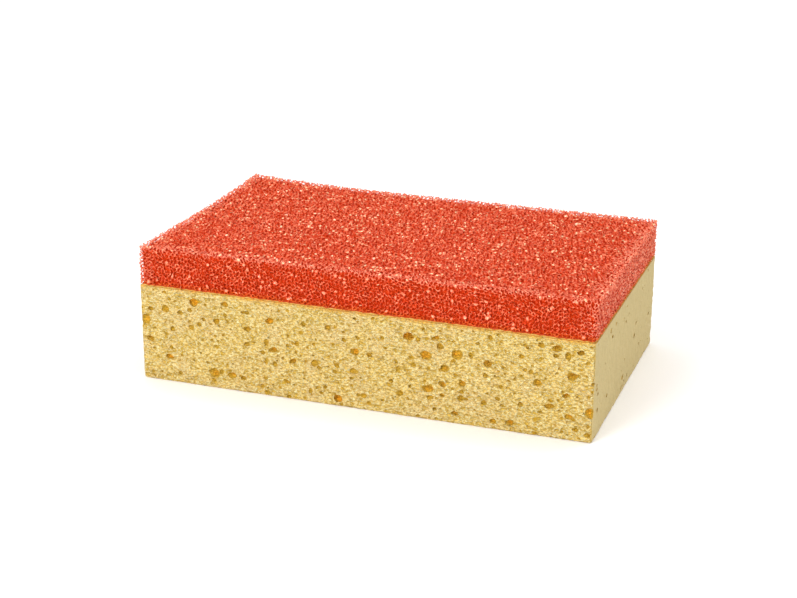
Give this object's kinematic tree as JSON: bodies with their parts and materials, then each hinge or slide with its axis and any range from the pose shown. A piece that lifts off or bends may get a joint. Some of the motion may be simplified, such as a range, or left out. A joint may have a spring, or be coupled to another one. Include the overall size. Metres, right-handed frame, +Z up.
{
  "type": "cellulose sponge",
  "caption": "Rectangular block of porous cellulose sponge with a pad of coarse open-cell foam glued over its whole top, for washing and scouring.",
  "frame": {"origin": "middle of the underside, on the surface the sponge lies on", "axes": "+X along the length, to the right in the picture; +Y across the width, away from the viewer; +Z up, from the cellulose to the scouring pad"},
  "size_m": [0.15, 0.09, 0.0466],
  "materials": {
    "cellulose": "matt, porous, straw yellow",
    "glue": "cured glue, orange",
    "foam": "open strands with a wet gleam, coral red"
  },
  "bodies": {
    "root": {"cellulose_block": "cellulose", "glue_film": "glue", "scouring_pad": "foam"}
  },
  "joints": []
}
